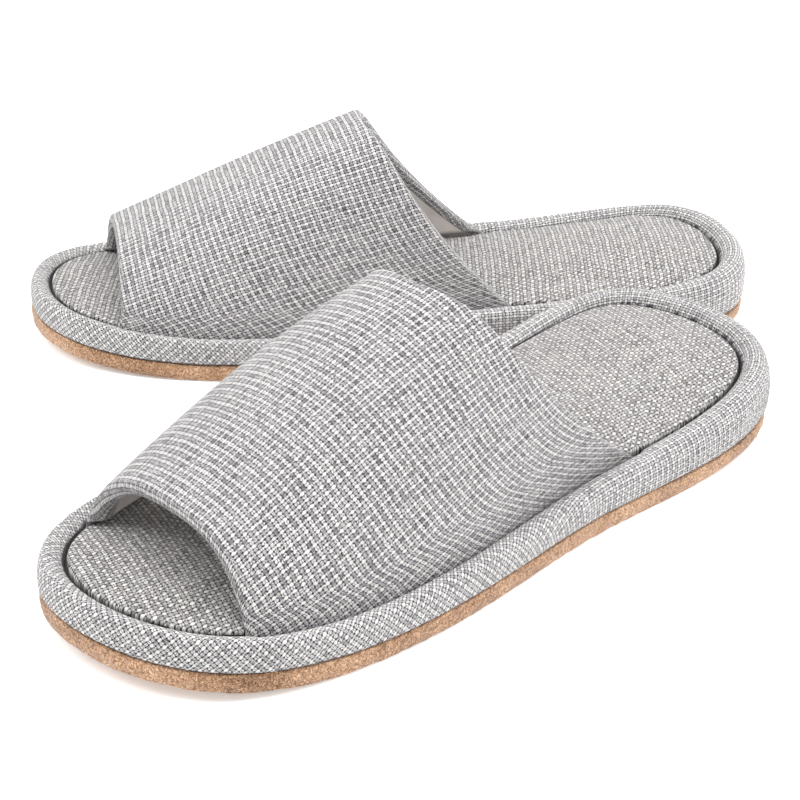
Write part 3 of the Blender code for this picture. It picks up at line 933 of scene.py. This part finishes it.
class Finish:
    """A material whose nodes are added by short calls. Sockets and plain numbers mix freely."""

    def __init__(self, name, roughness, sheen=0.0, sheen_roughness=0.5, specular=0.5):
        self.material = bpy.data.materials.new(name)
        self.material.use_nodes = True
        self.nodes = self.material.node_tree.nodes
        self.links = self.material.node_tree.links
        self.shader = self.nodes["Principled BSDF"]
        self.shader.inputs["Roughness"].default_value = roughness
        self.shader.inputs["Sheen Weight"].default_value = sheen
        self.shader.inputs["Sheen Roughness"].default_value = sheen_roughness
        self.shader.inputs["Specular IOR Level"].default_value = specular

    def put(self, socket, value):
        if isinstance(value, bpy.types.NodeSocket):
            self.links.new(value, socket)
        else:
            socket.default_value = value

    def add(self, kind, settings, inputs):
        """A node with its settings, and with its inputs by name or number."""
        node = self.nodes.new(kind)
        for key, value in settings.items():
            setattr(node, key, value)
        for key, value in inputs.items():
            self.put(node.inputs[key], value)
        return node

    def place(self):
        return self.add("ShaderNodeTexCoord", {}, {}).outputs["Object"]

    def weave(self):
        """The place in the cloth, and how far across and along it is."""
        uv = self.add("ShaderNodeUVMap", {"uv_map": "weave"}, {}).outputs[0]
        return uv, *self.add("ShaderNodeSeparateXYZ", {}, {0: uv}).outputs[:2]

    def calc(self, operation, *values):
        node = self.add("ShaderNodeMath", {"operation": operation}, dict(enumerate(values)))
        return node.outputs[0]

    def vector(self, x, y, z=0.0):
        return self.add("ShaderNodeCombineXYZ", {}, {0: x, 1: y, 2: z}).outputs[0]

    def noise(self, vector, scale, detail=2.0, roughness=0.5):
        inputs = {"Vector": vector, "Scale": scale, "Detail": detail, "Roughness": roughness}
        return self.add("ShaderNodeTexNoise", {}, inputs).outputs["Fac"]

    def blend(self, share, first, second):
        """A number between two, by share."""
        return self.add("ShaderNodeMix", {"data_type": "FLOAT"}, {0: share, 2: first, 3: second}).outputs[0]

    def ramp(self, value, stops):
        """A colour for a value, from (place, colour) stops."""
        node = self.add("ShaderNodeValToRGB", {}, {0: value})
        elements = node.color_ramp.elements
        while len(elements) < len(stops):
            elements.new(0.5)
        for element, (place, colour) in zip(elements, stops):
            element.position = place
            element.color = (*colour, 1)
        return node.outputs[0]

    def colour(self, value):
        self.put(self.shader.inputs["Base Color"], value)

    def bump(self, height, distance, strength=1.0):
        inputs = {"Height": height, "Distance": distance, "Strength": strength}
        self.put(self.shader.inputs["Normal"], self.add("ShaderNodeBump", {}, inputs).outputs[0])


def srgb(red, green, blue):
    """A linear colour from the usual 0 to 255 values."""
    values = np.array([red, green, blue]) / 255
    return tuple(np.where(values < 0.04045, values / 12.92, ((values + 0.055) / 1.055) ** 2.4).tolist())


# How strongly each feature of the linen shows in its tone. The hollows' depths also set how much painted
# shade lies in them.
CROSSING_CONTRAST = 0.40
FIBRE_CONTRAST = 1.6
LINE_DEPTH = 0.76
DIP_DEPTH = 0.38
HOLE_DEPTH = 1.35
SHADE_STRENGTH = 0.93


def linen(name, pitches, colours, tones, drift):
    """A coarse weave of slubby yarns. Off-white ones and pairs of grey ones run one way by turns.

    pitches are from yarn to yarn in millimetres. colours are those of the gaps (painted shade), the dark,
    the middling and the light yarns. tones are those of the two kinds of yarn one way and the two the other
    way.
    drift is how many yarns wide the weave wanders.
    """
    made = Finish(name, roughness=0.92, sheen=0.15, sheen_roughness=0.6, specular=0.2)
    calc = made.calc
    uv, u, v = made.weave()

    def yarn_count(along, pitch, place):
        slow = calc("MULTIPLY", made.noise(place, 0.16, 2.0), drift)
        wobble = calc("MULTIPLY", made.noise(place, 1.3, 1.0), 0.5)
        return calc("MULTIPLY_ADD", along, 1 / pitch, calc("ADD", slow, wobble))

    def less_half(value):
        return calc("SUBTRACT", value, 0.5)

    x = yarn_count(u, pitches[0], uv)
    y = yarn_count(v, pitches[1], made.vector(v, u, 9.0))
    column = calc("FLOOR", x)
    row = calc("FLOOR", y)
    in_x = less_half(calc("FRACT", x))
    in_y = less_half(calc("FRACT", y))
    odd_column = calc("FLOORED_MODULO", column, 2.0)
    odd_row = calc("FLOORED_MODULO", row, 2.0)
    warp_up = calc("FLOORED_MODULO", calc("ADD", calc("ADD", column, row), 1.0), 2.0)
    across = made.blend(warp_up, in_y, in_x)
    along = made.blend(warp_up, in_x, in_y)
    # Each yarn is lighter and darker in places along its length, and each crossing differs a little.
    warp_place = made.vector(calc("MULTIPLY", column, 3.7), calc("MULTIPLY", y, 0.1))
    weft_place = made.vector(calc("MULTIPLY", x, 0.1), calc("MULTIPLY", row, 3.7), 5.0)
    warp_slub = less_half(made.noise(warp_place, 1.0, 2.0))
    weft_slub = less_half(made.noise(weft_place, 1.0, 2.0))
    cell = made.add(
        "ShaderNodeTexWhiteNoise", {"noise_dimensions": "2D"}, {0: made.vector(column, row)}
    ).outputs[0]
    warp_tone = calc("MULTIPLY_ADD", warp_slub, 0.6, made.blend(odd_column, *tones[:2]))
    weft_tone = calc("MULTIPLY_ADD", weft_slub, 0.5, made.blend(odd_row, *tones[2:]))
    tone = made.blend(warp_up, weft_tone, warp_tone)
    tone = calc("MULTIPLY_ADD", less_half(cell), CROSSING_CONTRAST, tone)
    # Fibres run along the yarn on top.
    fibre_place = [calc("MULTIPLY", *pair) for pair in ((across, 7.0), (along, 1.8), (cell, 40.0))]
    fibre = made.noise(made.vector(*fibre_place), 1.0, 2.0)
    tone = calc("MULTIPLY_ADD", less_half(fibre), FIBRE_CONTRAST, tone)
    # Hollows lie beside each yarn and down the middle of a pair, and holes at the corners. They give the
    # bump, and they darken the tone as painted shade.
    side = calc("MULTIPLY", calc("ABSOLUTE", across), 2.0)
    end = calc("MULTIPLY", calc("ABSOLUTE", along), 2.0)
    alone = calc("POWER", side, 5.0)
    paired = calc("POWER", calc("ABSOLUTE", calc("MULTIPLY_ADD", side, 2.0, -1.0)), 2.5)
    is_alone = calc("MULTIPLY", warp_up, calc("SUBTRACT", 1.0, odd_column))
    line = calc("MULTIPLY", made.blend(is_alone, paired, alone), calc("MULTIPLY_ADD", cell, 0.6, 0.5))
    hole = calc("POWER", calc("MULTIPLY", side, end), 1.8)
    dip = calc("MULTIPLY", calc("POWER", end, 3.0), calc("MULTIPLY_ADD", is_alone, -0.3, 1.0))
    height = 1.0
    for hollow, depth in ((line, LINE_DEPTH), (dip, DIP_DEPTH), (hole, HOLE_DEPTH)):
        height = calc("SUBTRACT", height, calc("MULTIPLY", hollow, depth))
    height = calc("MAXIMUM", height, 0.0)
    # Painted shade from the pieces' attribute darkens the cloth in the groove and along the sole.
    painted_shade = made.add("ShaderNodeAttribute", {"attribute_name": "painted_shade"}, {}).outputs["Fac"]
    unshaded = calc("MULTIPLY_ADD", painted_shade, -SHADE_STRENGTH, 1.0)
    # The tone darkens in the weave's hollows as painted shade.
    tone = calc("MULTIPLY", calc("MULTIPLY", tone, height), unshaded)
    made.colour(made.ramp(tone, tuple(zip((0.05, 0.38, 0.66, 0.98), colours))))
    made.bump(calc("MULTIPLY_ADD", fibre, 0.4, height), 0.25 * MM)
    return made.material


def lining_cloth():
    """A smooth, finely woven cotton."""
    made = Finish("lining_cotton", roughness=0.85, sheen=0.15)
    uv, u, v = made.weave()
    yarn_pitch = 0.45
    ribs, picks = (made.calc("SINE", made.calc("MULTIPLY", part, math.tau / yarn_pitch)) for part in (u, v))
    weave = made.calc("MULTIPLY", ribs, picks)
    cloudy = made.noise(uv, 0.12, 3.0)
    tone = made.calc("MULTIPLY_ADD", weave, 0.06, cloudy)
    made.colour(made.ramp(tone, ((0.25, srgb(198, 189, 183)), (0.75, srgb(221, 214, 209)))))
    made.bump(weave, 0.05 * MM)
    return made.material


def suede():
    """Tan suede with short curly fibres and a nap that is brushed lighter and darker."""
    made = Finish("suede_tan", roughness=0.95, sheen=0.35, sheen_roughness=0.4, specular=0.2)
    place = made.place()
    curling = (4 * MM, 4 * MM, 4 * MM)
    warp = made.add("ShaderNodeTexNoise", {}, {"Vector": place, "Scale": 500.0, "Detail": 2.0})
    inputs = {0: warp.outputs["Color"], 1: curling, 2: place}
    bent = made.add("ShaderNodeVectorMath", {"operation": "MULTIPLY_ADD"}, inputs).outputs[0]
    inputs = {"Vector": bent, "Scale": 900.0}
    curls = made.add("ShaderNodeTexVoronoi", {"feature": "DISTANCE_TO_EDGE"}, inputs)
    curl = made.calc("MINIMUM", made.calc("MULTIPLY", curls.outputs[0], 5.0), 1.0)
    fuzz = made.noise(bent, 1500.0, 3.0, 0.7)
    nap = made.noise(place, 45.0, 3.0)
    tone = made.calc("MULTIPLY_ADD", curl, 0.34, made.calc("MULTIPLY", fuzz, 0.8))
    tone = made.calc("MULTIPLY_ADD", made.calc("SUBTRACT", nap, 0.5), 0.45, made.calc("SUBTRACT", tone, 0.12))
    stops = (
        (0.15, srgb(86, 62, 44)),
        (0.42, srgb(152, 116, 88)),
        (0.62, srgb(192, 154, 122)),
        (0.85, srgb(226, 194, 164)),
    )
    made.colour(made.ramp(tone, stops))
    made.bump(tone, 0.35 * MM, 0.9)
    return made.material


def foam(name, low, high, scale):
    """Open-cell foam: pale, with fine pores."""
    made = Finish(name, roughness=0.9, specular=0.3)
    place = made.place()
    pores = made.add("ShaderNodeTexVoronoi", {}, {"Vector": place, "Scale": scale}).outputs["Distance"]
    cloudy = made.noise(place, 60.0)
    tone = made.calc("MULTIPLY_ADD", cloudy, 0.4, made.calc("SUBTRACT", 0.9, pores))
    made.colour(made.ramp(tone, ((0.2, low), (0.9, high))))
    made.bump(made.calc("MULTIPLY", pores, -1.0), 0.2 * MM)
    return made.material


def fibre_board():
    """Pressed brown board with pale fibres."""
    made = Finish("fibre_board_brown", roughness=0.85)
    flecks = made.noise(made.place(), 900.0, 4.0, 0.7)
    stops = ((0.35, srgb(116, 88, 60)), (0.6, srgb(172, 144, 108)), (0.75, srgb(206, 184, 148)))
    made.colour(made.ramp(flecks, stops))
    made.bump(flecks, 0.1 * MM)
    return made.material


def thread():
    """A dark thread, mottled by its twist."""
    made = Finish("thread_dark", roughness=0.7, sheen=0.2)
    twist = made.noise(made.place(), 1400.0, 2.0)
    made.colour(made.ramp(twist, ((0.3, srgb(14, 13, 12)), (0.7, srgb(46, 42, 39)))))
    made.bump(twist, 0.1 * MM)
    return made.material


# ---- the slippers ----


def build_slippers():
    greys = (srgb(28, 27, 30), srgb(134, 132, 135), srgb(194, 192, 191), srgb(211, 208, 204))
    warm_greys = (srgb(28, 27, 27), srgb(124, 121, 121), srgb(178, 175, 173), srgb(208, 205, 201))
    upper = linen("linen_upper", YARN_PITCHES, greys, (0.96, 0.52, 0.74, 0.64), drift=0.7)
    rim = linen("linen_rim", YARN_PITCHES, greys, (1.0, 0.68, 0.74, 0.66), drift=0.0)
    insole = linen("linen_insole", INSOLE_YARN_PITCHES, warm_greys, (0.94, 0.74, 0.66, 0.56), drift=0.8)
    lining = lining_cloth()
    sole = suede()
    soft = foam("foam_cream", srgb(214, 206, 184), srgb(242, 238, 226), 700.0)
    firm = foam("eva_white", srgb(205, 205, 200), srgb(236, 236, 232), 1100.0)
    board = fibre_board()
    dark_thread = thread()
    band = Band()
    for which in SIDES:
        outsole(which, sole)
        slab(which, "midsole_wedge", lambda y: sole_top(y) + GAP, lambda y: board_bottom(y) - GAP,
             firm, "midsole")
        slab(which, "insole_board_sheet", board_bottom, lambda y: board_bottom(y) + BOARD_THICKNESS,
             board, "insole_board")
        insole_foam(which, soft)
        insole_cover(which, insole)
        seam_thread(which, dark_thread)
        rim_foam(which, soft)
        rim_cover(which, rim)
        upper_foam(which, band, soft)
        upper_lining(which, band, lining)
        upper_outer(which, band, upper)


# ---- the studio ----

CAMERA_PLACE = Vector((-0.4731, 0.2720, 0.2685))
CAMERA_FORWARD = Vector((0.7803, -0.4402, -0.4442))
CAMERA_ROLL = math.radians(2.53)
CAMERA_LENS = 78.99
FLOOR_SIDE = 6.0


def camera():
    data = bpy.data.cameras.new("camera")
    data.lens = CAMERA_LENS
    obj = linked("camera", data)
    turn = CAMERA_FORWARD.to_track_quat("-Z", "Y") @ Quaternion((0, 0, 1), CAMERA_ROLL)
    obj.matrix_world = Matrix.LocRotScale(CAMERA_PLACE, turn, None)
    bpy.context.scene.camera = obj


def floor():
    half = FLOOR_SIDE / 2
    corners = [(-half, -half, 0), (half, -half, 0), (half, half, 0), (-half, half, 0)]
    mesh = bpy.data.meshes.new("floor")
    mesh.from_pydata(corners, [], [(0, 1, 2, 3)])
    made = Finish("floor_white", roughness=0.6, specular=0.2)
    made.colour((0.90, 0.90, 0.90, 1))
    made.put(made.shader.inputs["Emission Color"], (1, 1, 1, 1))
    made.put(made.shader.inputs["Emission Strength"], 0.3)
    mesh.materials.append(made.material)
    linked("floor", mesh)


def area_light(name, place, aim, side, power):
    data = bpy.data.lights.new(name, "AREA")
    data.shape = "SQUARE"
    data.size = side
    data.energy = power
    obj = linked(name, data)
    obj.location = place
    obj.rotation_mode = "QUATERNION"
    obj.rotation_quaternion = (Vector(aim) - Vector(place)).to_track_quat("-Z", "Y")


def studio():
    camera()
    floor()
    scene = bpy.context.scene
    scene.view_settings.view_transform = "Standard"
    world = bpy.data.worlds.new("studio")
    scene.world = world
    world.use_nodes = True
    background = world.node_tree.nodes["Background"]
    background.inputs["Color"].default_value = (1.0, 1.0, 1.0, 1)
    background.inputs["Strength"].default_value = 0.62
    area_light("overhead", (0.1, -0.1, 1.3), (0, 0, 0), 1.4, 20)
    area_light("key", (0.2, 0.9, 0.9), (0, 0, 0.03), 0.6, 9)
    area_light("fill", (-1.2, -0.3, 0.6), (0, 0, 0.03), 0.8, 4)
    area_light("heel", (-0.3, -1.2, 0.6), (0, 0, 0.03), 0.8, 12)


build_slippers()
studio()
